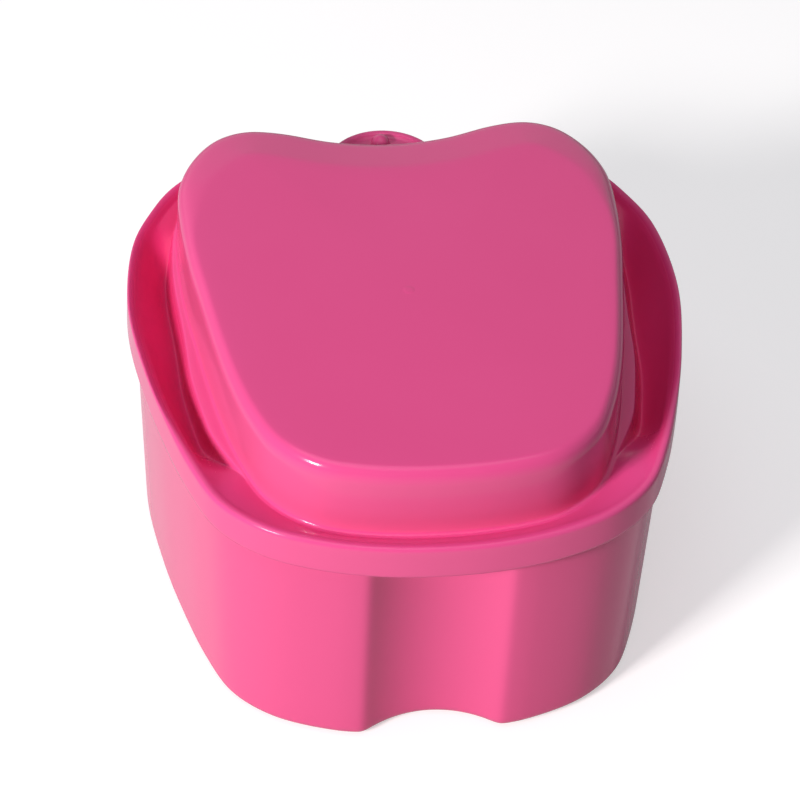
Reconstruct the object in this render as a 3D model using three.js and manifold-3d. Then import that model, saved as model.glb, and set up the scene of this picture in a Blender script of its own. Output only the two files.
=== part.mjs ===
// Denture case: deep cup with a thumb groove, lid with a raised tooth-shaped top and lift-out strainer.
// Millimetres, +Z up, the front with the thumb groove faces -Y, the table is at z = 0.
import * as THREE from "three";
import { mergeVertices } from "three/addons/utils/BufferGeometryUtils.js";
import Module from "manifold-3d";

const wasm = await Module();
wasm.setup();

// Plan of the lid's outer ridge, measured from the middle of the plan
const ridgeHalfWidth = 47.5;
const ridgeFrontReach = 52.5;
const ridgeRearReach = 50;
const ridgeHeight = 48;

// Half outline of the ridge from the front middle to the rear middle, as shares of the width and the reach
const ridgeShares = [
  [0, -1],
  [0.205, -0.989],
  [0.41, -0.949],
  [0.593, -0.877],
  [0.735, -0.76],
  [0.821, -0.596],
  [0.89, -0.397],
  [0.95, -0.174],
  [1, 0.16],
  [0.967, 0.499],
  [0.902, 0.651],
  [0.818, 0.785],
  [0.696, 0.888],
  [0.51, 0.968],
  [0.256, 0.993],
  [0, 1],
];

// Half outline of the raised island's foot, in the same shares
const islandShares = [
  [0, -0.884],
  [0.274, -0.863],
  [0.43, -0.816],
  [0.56, -0.71],
  [0.636, -0.563],
  [0.686, -0.405],
  [0.724, -0.229],
  [0.76, -0.019],
  [0.79, 0.18],
  [0.806, 0.4],
  [0.8, 0.585],
  [0.742, 0.74],
  [0.646, 0.853],
  [0.529, 0.897],
  [0.394, 0.881],
  [0.203, 0.819],
  [0, 0.794],
];

// Lid section
const lidWall = 1.3;
const skirtDepth = 6.1;
const skirtDraft = 0.25;
const ridgeCrown = 0.45;
const ridgeRound = 0.9;
const ridgeCrestWidth = 1.3;
const moatDepth = 6.8;
const moatDish = 0.5;
const moatFloorWidth = 0.7;
const moatInnerLean = 1.2;
const moatRoomTight = 3.6;
const moatRoomFull = 7.8;
const shelfDepth = 2.6;
const lobeShelfDepth = 1.3;
const ledgeWidth = 2.2;
const ledgeRearWidth = 0.9;
const ledgeEdgeRound = 0.25;
const islandRise = 10.4;
const islandDraft = 0.5;
const islandFootRound = 0.4;
const islandEdgeDrop = 3.1;
const islandEdgeWidth = 2;
const islandRearEdgeWidth = 9.5;
const islandCrown = 0.35;
const rimSlotRoof = 2.3;

// Where the deep side moat steps up to the front shelf, in degrees from the front
const moatEndFrom = 44;
const moatEndTo = 50;
const ledgeNarrowFrom = 75;
const ledgeNarrowTo = 105;
const rearEdgeFrom = 105;
const rearEdgeTo = 150;

// Finger tab at the rear of the lid with its small knob
const tabRadius = 10.5;
const tabReach = 54.1;
const tabThickness = 2.4;
const tabDish = 1.2;
const tabRimWidth = 1.6;
const tabRimRound = 0.5;
const tabOverlap = 1.9;
const knobRadius = 1.8;
const knobReach = 50.5;
const knobRise = 1.1;

// Cup
const cupWall = 1.5;
const cupFloor = 1.8;
const lidClearance = 0.3;
const rimDrop = 2.8;
const rimFlat = 0.5;
const rimOuterChamfer = 0.3;
const rimInnerDrop = 4.6;
const bodyTaper = 0.7;
const footRound = 2.4;
const footRoundInside = 3;
const grooveHalfWidth = 11.4;
const grooveDepth = 5;
const grooveSag = 4.1;
const grooveEdgeBlend = 0.8;
const grooveRoofTop = 6.6;
const grooveRoofRun = 1.6;
const grooveRoofWall = 1.3;

// Strainer basket
const basketWall = 1.4;
const basketFloor = 1.4;
const basketRimDrop = 10.6;
const basketGap = 0.7;
const flangeWidth = 1.6;
const flangeThickness = 1.4;
const basketTaper = 1.9;
const basketFootRound = 3.2;
const footHeight = 2.4;
const footRadius = 2.6;
const footClearance = 0.3;
const footReachX = 24;
const footReachFront = 30;
const footReachRear = 31;
const wallSlotWidth = 3;
const wallSlotLow = 9;
const wallSlotTopGap = 5;
const floorSlotWidth = 3.2;
const floorSlotLength = 16;
const floorSlotPitchX = 8.4;
const floorSlotPitchY = 20.5;
const slotMargin = 1.2;

// Counts and angles in degrees
const lidAngleRuns = [[0, 18, 5], [18, 50, 12], [50, 125, 11], [125, 180, 17]];
const cupAngleRuns = [[0, 18, 14], [18, 50, 12], [50, 125, 11], [125, 180, 17]];
const basketAngleRuns = [[0, 20, 8], [20, 52, 6], [52, 128, 11], [128, 180, 9]];
const roundSteps = 4;
const outlineSteps = 1440;
const tabSegments = 64;
const knobSegments = 20;
const footSegments = 14;
const wallSlotCount = 24;
const floorSlotColumns = 3;
const floorSlotRows = 1;
const slotEndSteps = 4;

// The plan is moved so that the whole case, tab included, is centred on the origin
const planShift = (ridgeFrontReach - tabReach) / 2;
const cupTopInset = lidWall + lidClearance;

const lidPink = new THREE.MeshStandardMaterial({ color: 0xe2568f, roughness: 0.2, metalness: 0 });
const cupPink = new THREE.MeshStandardMaterial({ color: 0xe2568f, roughness: 0.22, metalness: 0 });
const basketWhite = new THREE.MeshStandardMaterial({ color: 0xf1eeea, roughness: 0.4, metalness: 0 });

const radians = THREE.MathUtils.degToRad;

// Smooth step from 0 to 1 between two values
function blendShare(value, from, to) {
  return THREE.MathUtils.smoothstep(value, from, to);
}

// All sample angles of one ring, from the front round the right side and back
function ringAngles(runs) {
  const half = [];
  for (const [from, to, count] of runs) {
    for (let i = 0; i < count; i += 1) {
      half.push(from + ((to - from) * i) / count);
    }
  }
  const back = half.slice(1).reverse().map((angle) => 360 - angle);
  return [...half, 180, ...back];
}

// Smooth closed curve through a mirrored half outline
function outlinePoints(shares) {
  const right = shares.map(([x, y]) => {
    const reach = y < 0 ? ridgeFrontReach : ridgeRearReach;
    return new THREE.Vector3(x * ridgeHalfWidth, y * reach, 0);
  });
  const left = right.slice(1, -1).reverse().map((point) => new THREE.Vector3(-point.x, point.y, 0));
  const curve = new THREE.CatmullRomCurve3([...right, ...left], true, "centripetal");
  return curve.getPoints(outlineSteps).map((point) => new THREE.Vector2(point.x, point.y));
}

// Distance from the middle to a closed curve in one direction
function reachAlong(curve, direction) {
  for (let i = 0; i + 1 < curve.length; i += 1) {
    const a = direction.cross(curve[i]);
    const b = direction.cross(curve[i + 1]);
    if (a * b <= 0 && a !== b && direction.dot(curve[i]) > 0) {
      return direction.dot(curve[i].clone().lerp(curve[i + 1], a / (a - b)));
    }
  }
  return 0;
}

// Plan points of an outline at the given angles, the left side mirrored from the right
function planRing(shares, angles) {
  const curve = outlinePoints(shares);
  return angles.map((angle) => {
    const turn = radians(Math.min(angle, 360 - angle));
    const direction = new THREE.Vector2(Math.sin(turn), -Math.cos(turn));
    const reach = reachAlong(curve, direction);
    return new THREE.Vector2(direction.x * reach * (angle > 180 ? -1 : 1), direction.y * reach);
  });
}

// Plan ring moved outward by a distance, one value or one per point
function offsetRing(ring, distance) {
  const count = ring.length;
  return ring.map((point, i) => {
    const along = ring[(i + 1) % count].clone().sub(ring[(i + count - 1) % count]).normalize();
    const amount = Array.isArray(distance) ? distance[i] : distance;
    return new THREE.Vector2(point.x + along.y * amount, point.y - along.x * amount);
  });
}

// Plan ring between two others
function mixRings(a, b, share) {
  return a.map((point, i) => point.clone().lerp(b[i], share));
}

// Plan ring lifted to a height, one value or one per point
function lift(ring, height) {
  return ring.map((point, i) => {
    const z = Array.isArray(height) ? height[i] : height;
    return new THREE.Vector3(point.x, point.y + planShift, z);
  });
}

// Middle point of a ring, moved to a height
function ringMiddle(ring, height) {
  const middle = new THREE.Vector3();
  ring.forEach((point) => middle.add(point));
  middle.divideScalar(ring.length);
  return new THREE.Vector3(middle.x, middle.y, height);
}

// Closed solid through a row of rings, closed at both ends by a fan to a middle point
function loftSolid(rings, firstHeight, lastHeight) {
  const count = rings[0].length;
  const points = rings.flat();
  const faces = [];
  for (let r = 0; r + 1 < rings.length; r += 1) {
    for (let i = 0; i < count; i += 1) {
      const next = (i + 1) % count;
      const a = r * count + i;
      const b = r * count + next;
      const c = (r + 1) * count + i;
      const d = (r + 1) * count + next;
      faces.push([a, b, d], [a, d, c]);
    }
  }
  const first = points.length;
  points.push(ringMiddle(rings[0], firstHeight));
  const last = points.length;
  points.push(ringMiddle(rings[rings.length - 1], lastHeight));
  const lastRing = (rings.length - 1) * count;
  for (let i = 0; i < count; i += 1) {
    const next = (i + 1) % count;
    faces.push([first, next, i], [last, lastRing + i, lastRing + next]);
  }
  return solidFrom(points, faces);
}

// Solid from points and faces, turned so that its faces point outward
function solidFrom(points, faces) {
  let volume = 0;
  for (const [a, b, c] of faces) {
    volume += points[a].dot(points[b].clone().cross(points[c]));
  }
  const turned = volume < 0 ? faces.map(([a, b, c]) => [a, c, b]) : faces;
  const vertProperties = new Float32Array(points.flatMap((point) => [point.x, point.y, point.z]));
  const triVerts = new Uint32Array(turned.flat());
  return new wasm.Manifold(new wasm.Mesh({ numProp: 3, vertProperties, triVerts }));
}

// Solid from a three.js geometry
function solidOf(geometry) {
  geometry.deleteAttribute("normal");
  geometry.deleteAttribute("uv");
  const merged = mergeVertices(geometry);
  const position = merged.attributes.position;
  const points = [];
  for (let i = 0; i < position.count; i += 1) {
    points.push(new THREE.Vector3().fromBufferAttribute(position, i));
  }
  const index = merged.index.array;
  const faces = [];
  for (let i = 0; i < index.length; i += 3) {
    if (index[i] !== index[i + 1] && index[i + 1] !== index[i + 2] && index[i] !== index[i + 2]) {
      faces.push([index[i], index[i + 1], index[i + 2]]);
    }
  }
  return solidFrom(points, faces);
}

// Named mesh from a finished solid
function meshOf(name, solid, material) {
  const source = solid.getMesh();
  const geometry = new THREE.BufferGeometry();
  const width = source.numProp;
  const positions = [];
  for (let i = 0; i < source.vertProperties.length; i += width) {
    positions.push(...source.vertProperties.slice(i, i + 3));
  }
  geometry.setAttribute("position", new THREE.Float32BufferAttribute(positions, 3));
  geometry.setIndex(Array.from(source.triVerts));
  geometry.computeVertexNormals();
  const mesh = new THREE.Mesh(geometry, material);
  mesh.name = name;
  return mesh;
}

// Round plug standing on the plan point, from one height to another
function roundPost(radius, x, y, low, high, segments) {
  const geometry = new THREE.CylinderGeometry(radius, radius, high - low, segments);
  geometry.rotateX(Math.PI / 2);
  geometry.translate(x, y + planShift, (low + high) / 2);
  return solidOf(geometry);
}

// Rings of a rounded shoulder that falls from a height, narrow end first
function shoulderRings(foot, width, drop, height, steps) {
  const rings = [];
  for (let s = 0; s <= steps; s += 1) {
    const turn = (Math.PI / 2) * (s / steps);
    const inward = width.map((value) => -value * (1 - Math.sin(turn)));
    rings.push(lift(offsetRing(foot, inward), height - drop * (1 - Math.cos(turn))));
  }
  return rings;
}

// Widths and depths of the lid's moat and shoulder at each sample angle
function moatForm(angles, ridge, island) {
  const crest = offsetRing(ridge, -(ridgeRound + ridgeCrestWidth));
  const turned = angles.map((angle) => Math.min(angle, 360 - angle));
  const tight = crest.map((point, i) => {
    return 1 - blendShare(point.distanceTo(island[i]), moatRoomTight, moatRoomFull);
  });
  const shelf = turned.map((angle, i) => Math.max(1 - blendShare(angle, moatEndFrom, moatEndTo), tight[i]));
  const lobe = turned.map((angle, i) => tight[i] * blendShare(angle, rearEdgeFrom, rearEdgeTo));
  const level = lobe.map((share) => THREE.MathUtils.lerp(shelfDepth, lobeShelfDepth, share));
  const rear = turned.map((angle) => blendShare(angle, rearEdgeFrom, rearEdgeTo));
  const narrow = turned.map((angle) => blendShare(angle, ledgeNarrowFrom, ledgeNarrowTo));
  const width = narrow.map((share) => THREE.MathUtils.lerp(ledgeWidth, ledgeRearWidth, share));
  const mix = (deep, flat) => shelf.map((share) => THREE.MathUtils.lerp(deep, flat, share));
  return {
    crest,
    level,
    edgeWidth: rear.map((share) => islandEdgeWidth + (islandRearEdgeWidth - islandEdgeWidth) * share),
    ledge: shelf.map((share, i) => THREE.MathUtils.lerp(width[i], islandFootRound, share)),
    lean: mix(moatInnerLean, islandFootRound / 2),
    floorWidth: mix(moatFloorWidth, islandFootRound / 2),
    depth: shelf.map((share, i) => THREE.MathUtils.lerp(moatDepth, level[i], share)),
    dish: mix(moatDish, 0),
  };
}

// Sum of two rows of widths
function addRows(a, b) {
  return a.map((value, i) => value + b[i]);
}

// Ring half way from a ring to the middle of the plan
function halfRing(ring) {
  return ring.map((point) => point.clone().divideScalar(2));
}

// Upper face of the lid from the middle of the island out to the skirt's lower edge
function lidOuterRings(form, ridge, island) {
  const islandTop = ridgeHeight + islandRise;
  const ledgeHeight = form.level.map((value) => ridgeHeight - value);
  const wallFoot = ledgeHeight.map((value) => value + islandFootRound);
  const wallTop = offsetRing(island, -islandDraft);
  const plateau = offsetRing(wallTop, form.edgeWidth.map((value) => -value));
  const floorInner = offsetRing(island, addRows(form.ledge, form.lean));
  const floorOuter = offsetRing(island, addRows(addRows(form.ledge, form.lean), form.floorWidth));
  const slopeHeight = ridgeHeight - ridgeCrown;
  const floorHeight = form.depth.map((value) => ridgeHeight - value);
  const ledgeFoot = floorHeight.map((value, i) => Math.max(value, ledgeHeight[i] - ledgeEdgeRound));
  const slopeMid = floorHeight.map((value, i) => (slopeHeight + value) / 2 - form.dish[i]);
  return [
    lift(halfRing(plateau), islandTop + islandCrown / 2),
    ...shoulderRings(wallTop, form.edgeWidth, islandEdgeDrop, islandTop, roundSteps),
    lift(offsetRing(island, -islandFootRound / 2), wallFoot),
    lift(offsetRing(island, islandFootRound / 2), ledgeHeight),
    lift(offsetRing(island, form.ledge), ledgeHeight),
    lift(offsetRing(island, form.ledge.map((value) => value + ledgeEdgeRound / 2)), ledgeFoot),
    lift(floorInner, floorHeight),
    lift(floorOuter, floorHeight),
    lift(mixRings(floorOuter, form.crest, 1 / 2), slopeMid),
    lift(form.crest, slopeHeight),
    lift(mixRings(form.crest, offsetRing(ridge, -ridgeRound), 1 / 2), ridgeHeight - ridgeCrown / 5),
    lift(offsetRing(ridge, -ridgeRound), ridgeHeight),
    lift(offsetRing(ridge, -(ridgeRound + skirtDraft) / 2), ridgeHeight - ridgeCrown / 2),
    lift(offsetRing(ridge, -skirtDraft), ridgeHeight - ridgeRound),
    lift(ridge, ridgeHeight - skirtDepth),
  ];
}

// Lower face of the lid from the skirt's lower edge back to the middle of the island
function lidInnerRings(form, ridge, island) {
  const roofHeight = ridgeHeight - rimSlotRoof;
  const ledgeUnder = form.level.map((value) => ridgeHeight - value - lidWall);
  const wallUnder = ledgeUnder.map((value) => value + islandFootRound);
  const underFloor = form.depth.map((value) => ridgeHeight - value - lidWall);
  const footReach = addRows(addRows(form.ledge, form.lean), form.floorWidth);
  const wallTop = offsetRing(island, -islandDraft - lidWall);
  const plateau = offsetRing(wallTop, form.edgeWidth.map((value) => -value));
  const islandTop = ridgeHeight + islandRise - lidWall;
  const shoulder = shoulderRings(wallTop, form.edgeWidth, islandEdgeDrop, islandTop, roundSteps);
  return [
    lift(offsetRing(ridge, -lidWall), ridgeHeight - skirtDepth),
    lift(offsetRing(ridge, -lidWall), roofHeight),
    lift(form.crest, roofHeight),
    lift(offsetRing(island, footReach.map((value) => value - lidWall / 4)), underFloor),
    lift(offsetRing(island, addRows(form.ledge, form.lean).map((value) => value - lidWall)), underFloor),
    lift(offsetRing(island, form.ledge.map((value) => value - lidWall * 1.4)), ledgeUnder),
    lift(offsetRing(island, -lidWall - islandFootRound), wallUnder),
    ...shoulder.reverse(),
    lift(halfRing(plateau), islandTop + islandCrown / 2),
  ];
}

// Half-round tab behind the ridge with a raised edge and a small knob
function lidTab() {
  const middle = tabReach - tabRadius;
  const profile = [
    [0, -tabThickness],
    [tabRadius - tabRimRound, -tabThickness],
    [tabRadius, -tabThickness + tabRimRound],
    [tabRadius, -tabRimRound],
    [tabRadius - tabRimRound, 0],
    [tabRadius - tabRimWidth + tabRimRound, 0],
    [tabRadius - tabRimWidth - tabRimRound, -tabDish],
    [0, -tabDish],
  ];
  const disc = new THREE.LatheGeometry(profile.map(([r, z]) => new THREE.Vector2(r, z)), tabSegments);
  disc.rotateX(Math.PI / 2);
  disc.translate(0, middle + planShift, ridgeHeight);
  const keep = new THREE.BoxGeometry(tabRadius * 3, tabRadius * 2, tabRadius * 2);
  keep.translate(0, ridgeRearReach - tabOverlap + tabRadius + planShift, ridgeHeight);
  const knobProfile = [
    [0, -tabDish - tabThickness / 4],
    [knobRadius, -tabDish - tabThickness / 4],
    [knobRadius, knobRise - knobRadius],
    [knobRadius * 0.87, knobRise - knobRadius / 2],
    [knobRadius * 0.5, knobRise - knobRadius * 0.13],
    [0, knobRise],
  ];
  const knob = new THREE.LatheGeometry(knobProfile.map(([r, z]) => new THREE.Vector2(r, z)), knobSegments);
  knob.rotateX(Math.PI / 2);
  knob.translate(0, knobReach + planShift, ridgeHeight);
  return solidOf(disc).intersect(solidOf(keep)).add(solidOf(knob));
}

// Lid: island, moat, ridge and skirt in one wall, with the finger tab
function makeLid() {
  const angles = ringAngles(lidAngleRuns);
  const ridge = planRing(ridgeShares, angles);
  const island = planRing(islandShares, angles);
  const form = moatForm(angles, ridge, island);
  const outer = lidOuterRings(form, ridge, island);
  const inner = lidInnerRings(form, ridge, island);
  const top = ridgeHeight + islandRise + islandCrown;
  const shell = loftSolid([...outer, ...inner], top, top - lidWall);
  return meshOf("lid", shell.add(lidTab()), lidPink);
}

// Cup outline at an inset, with the thumb groove pressed in by a share of its full form
function cupRing(ridge, inset, grooveShare, wall) {
  const radius = (grooveHalfWidth ** 2 + grooveSag ** 2) / (2 * grooveSag) + wall;
  const middle = -(ridgeFrontReach - inset + wall) + grooveDepth - (radius - wall);
  return offsetRing(ridge, -inset).map((point) => {
    if (point.y > 0 || Math.abs(point.x) >= radius) {
      return point;
    }
    const arc = middle + Math.sqrt(radius ** 2 - point.x ** 2);
    const gap = point.y - arc;
    const pressed = (point.y + arc + Math.sqrt(gap ** 2 + grooveEdgeBlend ** 2)) / 2;
    const fade = blendShare(Math.abs(point.x), grooveHalfWidth * 1.15, grooveHalfWidth * 1.4);
    const y = THREE.MathUtils.lerp(pressed, point.y, fade);
    return new THREE.Vector2(point.x, THREE.MathUtils.lerp(point.y, y, grooveShare));
  });
}

// Rings of a rounded foot, from the flat floor up to the wall
function footRings(ringAt, inset, round, floorHeight, steps) {
  const rings = [];
  for (let s = 0; s <= steps; s += 1) {
    const turn = (Math.PI / 2) * (s / steps);
    const extra = round * (1 - Math.sin(turn));
    rings.push(lift(ringAt(inset + extra), floorHeight + round * (1 - Math.cos(turn))));
  }
  return rings;
}

// Cup: drafted wall with the thumb groove, closed collar under the lid and a flat floor
function makeCup() {
  const angles = ringAngles(cupAngleRuns);
  const ridge = planRing(ridgeShares, angles);
  const outerLow = cupTopInset + bodyTaper;
  const innerTop = cupTopInset + cupWall;
  const innerLow = outerLow + cupWall;
  const roofLow = ridgeHeight - grooveRoofTop - grooveRoofRun;
  const roofHigh = ridgeHeight - grooveRoofTop;
  const outerAt = (inset) => cupRing(ridge, inset, 1, 0);
  const innerAt = (inset) => cupRing(ridge, inset, 1, cupWall);
  const outerFoot = footRings(outerAt, outerLow, footRound, 0, roundSteps);
  const innerFoot = footRings(innerAt, innerLow, footRoundInside, cupFloor, roundSteps);
  const rings = [
    ...outerFoot,
    lift(cupRing(ridge, cupTopInset, 1, 0), roofLow),
    lift(cupRing(ridge, cupTopInset, 0, 0), roofHigh),
    lift(cupRing(ridge, cupTopInset, 0, 0), ridgeHeight - rimDrop - rimOuterChamfer),
    lift(cupRing(ridge, cupTopInset + rimOuterChamfer, 0, 0), ridgeHeight - rimDrop),
    lift(cupRing(ridge, cupTopInset + rimFlat, 0, 0), ridgeHeight - rimDrop),
    lift(cupRing(ridge, innerTop, 0, cupWall), ridgeHeight - rimInnerDrop),
    lift(cupRing(ridge, innerTop, 0, cupWall), roofHigh + grooveRoofWall),
    lift(cupRing(ridge, innerTop, 1, cupWall), roofLow + grooveRoofWall),
    ...innerFoot.reverse(),
  ];
  return meshOf("base_cup", loftSolid(rings, 0, cupFloor), cupPink);
}

// Upright cutters spread evenly round the basket wall
function wallSlotCutters(ring, low, high) {
  const lengths = [0];
  for (let i = 0; i < ring.length; i += 1) {
    lengths.push(lengths[i] + ring[i].distanceTo(ring[(i + 1) % ring.length]));
  }
  const total = lengths[ring.length];
  const cutters = [];
  for (let k = 0; k < wallSlotCount; k += 1) {
    const want = (total * (k + 1 / 2)) / wallSlotCount;
    const i = lengths.findIndex((value) => value > want) - 1;
    const share = (want - lengths[i]) / (lengths[i + 1] - lengths[i]);
    const a = ring[i];
    const b = ring[(i + 1) % ring.length];
    const spot = a.clone().lerp(b, share);
    const along = b.clone().sub(a);
    const box = new THREE.BoxGeometry(wallSlotWidth, basketWall * 5, high - low);
    box.rotateZ(Math.atan2(along.y, along.x));
    box.translate(spot.x, spot.y + planShift, (low + high) / 2);
    cutters.push(solidOf(box));
  }
  return cutters;
}

// Cutters for round-ended slots in the basket floor
function floorSlotCutters(low, high) {
  const cutters = [];
  const end = floorSlotWidth / 2;
  const straight = floorSlotLength / 2 - end;
  for (let column = -floorSlotColumns; column <= floorSlotColumns; column += 1) {
    for (let row = -floorSlotRows; row <= floorSlotRows; row += 1) {
      const shape = new THREE.Shape();
      shape.absarc(0, straight, end, 0, Math.PI, false);
      shape.absarc(0, -straight, end, Math.PI, Math.PI * 2, false);
      const slot = new THREE.ExtrudeGeometry(shape, {
        depth: high - low,
        bevelEnabled: false,
        curveSegments: slotEndSteps,
      });
      slot.translate(column * floorSlotPitchX, row * floorSlotPitchY + planShift, low);
      cutters.push(solidOf(slot));
    }
  }
  return cutters;
}

// Strainer basket: slotted cup that stands on four feet inside the case
function makeBasket() {
  const angles = ringAngles(basketAngleRuns);
  const ridge = planRing(ridgeShares, angles);
  const bodyShare = cupWall + basketGap;
  const topInset = cupTopInset + cupWall + basketGap + flangeWidth;
  const lowInset = topInset + basketTaper;
  const rimTop = ridgeHeight - basketRimDrop;
  const under = cupFloor + footClearance + footHeight;
  const floorTop = under + basketFloor;
  const outer = (inset) => cupRing(ridge, inset, 1, bodyShare + flangeWidth);
  const inner = (inset) => cupRing(ridge, inset, 1, bodyShare + flangeWidth + basketWall);
  const outerFoot = footRings(outer, lowInset, basketFootRound + basketFloor, under, roundSteps);
  const innerFoot = footRings(inner, lowInset + basketWall, basketFootRound, floorTop, roundSteps);
  const flangeEdge = cupRing(ridge, topInset - flangeWidth, 1, bodyShare);
  const rings = [
    ...outerFoot,
    lift(outer(topInset), rimTop - flangeThickness),
    lift(flangeEdge, rimTop - flangeThickness),
    lift(flangeEdge, rimTop),
    lift(inner(topInset + basketWall), rimTop),
    ...innerFoot.reverse(),
  ];
  let body = loftSolid(rings, under, floorTop);
  const middle = mixRings(outer(topInset), inner(lowInset + basketWall), 1 / 2);
  const slotTop = rimTop - flangeThickness - wallSlotTopGap;
  for (const cutter of wallSlotCutters(middle, under + wallSlotLow, slotTop)) {
    body = body.subtract(cutter);
  }
  for (const cutter of floorSlotCutters(under - slotMargin, floorTop + slotMargin)) {
    body = body.subtract(cutter);
  }
  for (const side of [-1, 1]) {
    for (const y of [-footReachFront, footReachRear]) {
      const low = under - footHeight;
      const high = floorTop - basketFloor / 2;
      body = body.add(roundPost(footRadius, side * footReachX, y, low, high, footSegments));
    }
  }
  return meshOf("strainer_basket", body, basketWhite);
}

const group = new THREE.Group();
group.name = "denture_case";
group.add(makeCup(), makeLid(), makeBasket());
export default group;
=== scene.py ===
# Denture case in hot pink polypropylene: deep cup with a thumb groove, lid with a raised top, strainer basket.
# Shapes are worked out in millimetres and placed in metres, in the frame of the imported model.
import math
import bpy
import bmesh
from mathutils import Matrix, Vector, geometry


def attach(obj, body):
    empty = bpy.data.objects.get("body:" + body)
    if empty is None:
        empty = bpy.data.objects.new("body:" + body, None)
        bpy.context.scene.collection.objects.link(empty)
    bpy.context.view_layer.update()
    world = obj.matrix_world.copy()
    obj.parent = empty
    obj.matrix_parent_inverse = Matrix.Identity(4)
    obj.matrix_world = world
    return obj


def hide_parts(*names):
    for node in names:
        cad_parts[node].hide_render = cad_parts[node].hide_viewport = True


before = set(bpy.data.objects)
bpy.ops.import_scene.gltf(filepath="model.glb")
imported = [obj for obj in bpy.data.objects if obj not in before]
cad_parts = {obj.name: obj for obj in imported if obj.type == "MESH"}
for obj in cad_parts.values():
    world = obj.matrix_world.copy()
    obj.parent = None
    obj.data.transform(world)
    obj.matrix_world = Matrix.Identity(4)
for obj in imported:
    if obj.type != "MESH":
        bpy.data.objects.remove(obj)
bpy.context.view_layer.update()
print("frame loaded")

millimetre = 0.001

# Outlines seen from above, as shares of half the width and of the reach to the front or rear
planForm = {
    "halfWidth": 47.5,
    "frontReach": 52.5,
    "rearReach": 50,
    "shift": -0.8,
    "curveSteps": 60,
    "ridge": [
        (0, -1), (0.205, -0.989), (0.41, -0.949), (0.593, -0.877), (0.735, -0.76), (0.821, -0.596),
        (0.89, -0.397), (0.95, -0.174), (1, 0.16), (0.967, 0.499), (0.902, 0.651), (0.818, 0.785),
        (0.696, 0.888), (0.51, 0.968), (0.256, 0.993), (0, 1),
    ],
    "island": [
        (0, -0.884), (0.274, -0.863), (0.43, -0.816), (0.56, -0.71), (0.636, -0.563), (0.686, -0.405),
        (0.724, -0.229), (0.76, -0.019), (0.79, 0.18), (0.806, 0.4), (0.8, 0.585), (0.742, 0.74),
        (0.646, 0.853), (0.529, 0.897), (0.394, 0.881), (0.203, 0.819), (0, 0.794),
    ],
}


def closedCurve(shares):
    # centripetal curve through the mirrored half outline, drawn as bezier spans
    right = []
    for x, y in shares:
        reach = planForm["frontReach"] if y < 0 else planForm["rearReach"]
        right.append(Vector((x * planForm["halfWidth"], y * reach, 0)))
    left = [Vector((-point.x, point.y, 0)) for point in right[-2:0:-1]]
    points = right + left
    count = len(points)
    curve = []
    for i in range(count):
        a, b, c, d = (points[(i + k) % count] for k in (-1, 0, 1, 2))
        ab, bc, cd = (math.sqrt((q - p).length) for p, q in ((a, b), (b, c), (c, d)))
        leave = ((b - a) / ab - (c - a) / (ab + bc) + (c - b) / bc) * bc
        arrive = ((c - b) / bc - (d - b) / (bc + cd) + (d - c) / cd) * bc
        handles = (b, b + leave / 3, c - arrive / 3, c)
        span = geometry.interpolate_bezier(*handles, planForm["curveSteps"] + 1)
        curve.extend(span[:-1])
    curve.append(curve[0].copy())
    return curve


def anglesOf(runs):
    # station angles from the front round the right side and back, in degrees
    half = [start + (stop - start) * k / count for start, stop, count in runs for k in range(count)]
    return half + [180] + [360 - angle for angle in half[:0:-1]]


def planRing(shares, angles):
    curve = closedCurve(shares)
    ring = []
    for angle in angles:
        turn = math.radians(min(angle, 360 - angle))
        way = Vector((math.sin(turn), -math.cos(turn), 0))
        reach = 0
        for a, b in zip(curve, curve[1:]):
            sideA = way.x * a.y - way.y * a.x
            sideB = way.x * b.y - way.y * b.x
            if sideA * sideB <= 0 and sideA != sideB and way.dot(a) > 0:
                reach = way.dot(a.lerp(b, sideA / (sideA - sideB)))
                break
        ring.append(Vector((way.x * reach * (-1 if angle > 180 else 1), way.y * reach, 0)))
    return ring


def offsetRing(ring, distance):
    # outward by one distance, or by one per station
    count = len(ring)
    moved = []
    for i, point in enumerate(ring):
        along = (ring[(i + 1) % count] - ring[i - 1]).normalized()
        amount = distance[i] if isinstance(distance, list) else distance
        moved.append(Vector((point.x + along.y * amount, point.y - along.x * amount, 0)))
    return moved


def mixRings(first, second, share):
    return [a.lerp(b, share) for a, b in zip(first, second)]


def lift(ring, height):
    raised = []
    for i, point in enumerate(ring):
        z = height[i] if isinstance(height, list) else height
        raised.append(Vector((point.x, point.y + planForm["shift"], z)))
    return raised


def smoothShare(value, start, stop):
    share = min(max((value - start) / (stop - start), 0), 1)
    return share * share * (3 - 2 * share)


def mix(first, second, share):
    return first + (second - first) * share


def placeRow(row, ring):
    for vert, point in zip(row, ring):
        vert.co = point * millimetre


def growRow(mesh, row):
    # extrudes the closed row and returns the new row in the same order
    held = set(row)
    loose = [edge for vert in row for edge in vert.link_edges if len(edge.link_faces) < 2]
    rim = dict.fromkeys(edge for edge in loose if edge.verts[0] in held and edge.verts[1] in held)
    grown = bmesh.ops.extrude_edge_only(mesh, edges=list(rim))
    fresh = {item for item in grown["geom"] if isinstance(item, bmesh.types.BMVert)}
    return [next(edge.other_vert(vert) for edge in vert.link_edges if edge.other_vert(vert) in fresh) for vert in row]


poleShares = (0.6, 0.25)  # where the rings between an open end and its pole lie


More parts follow.
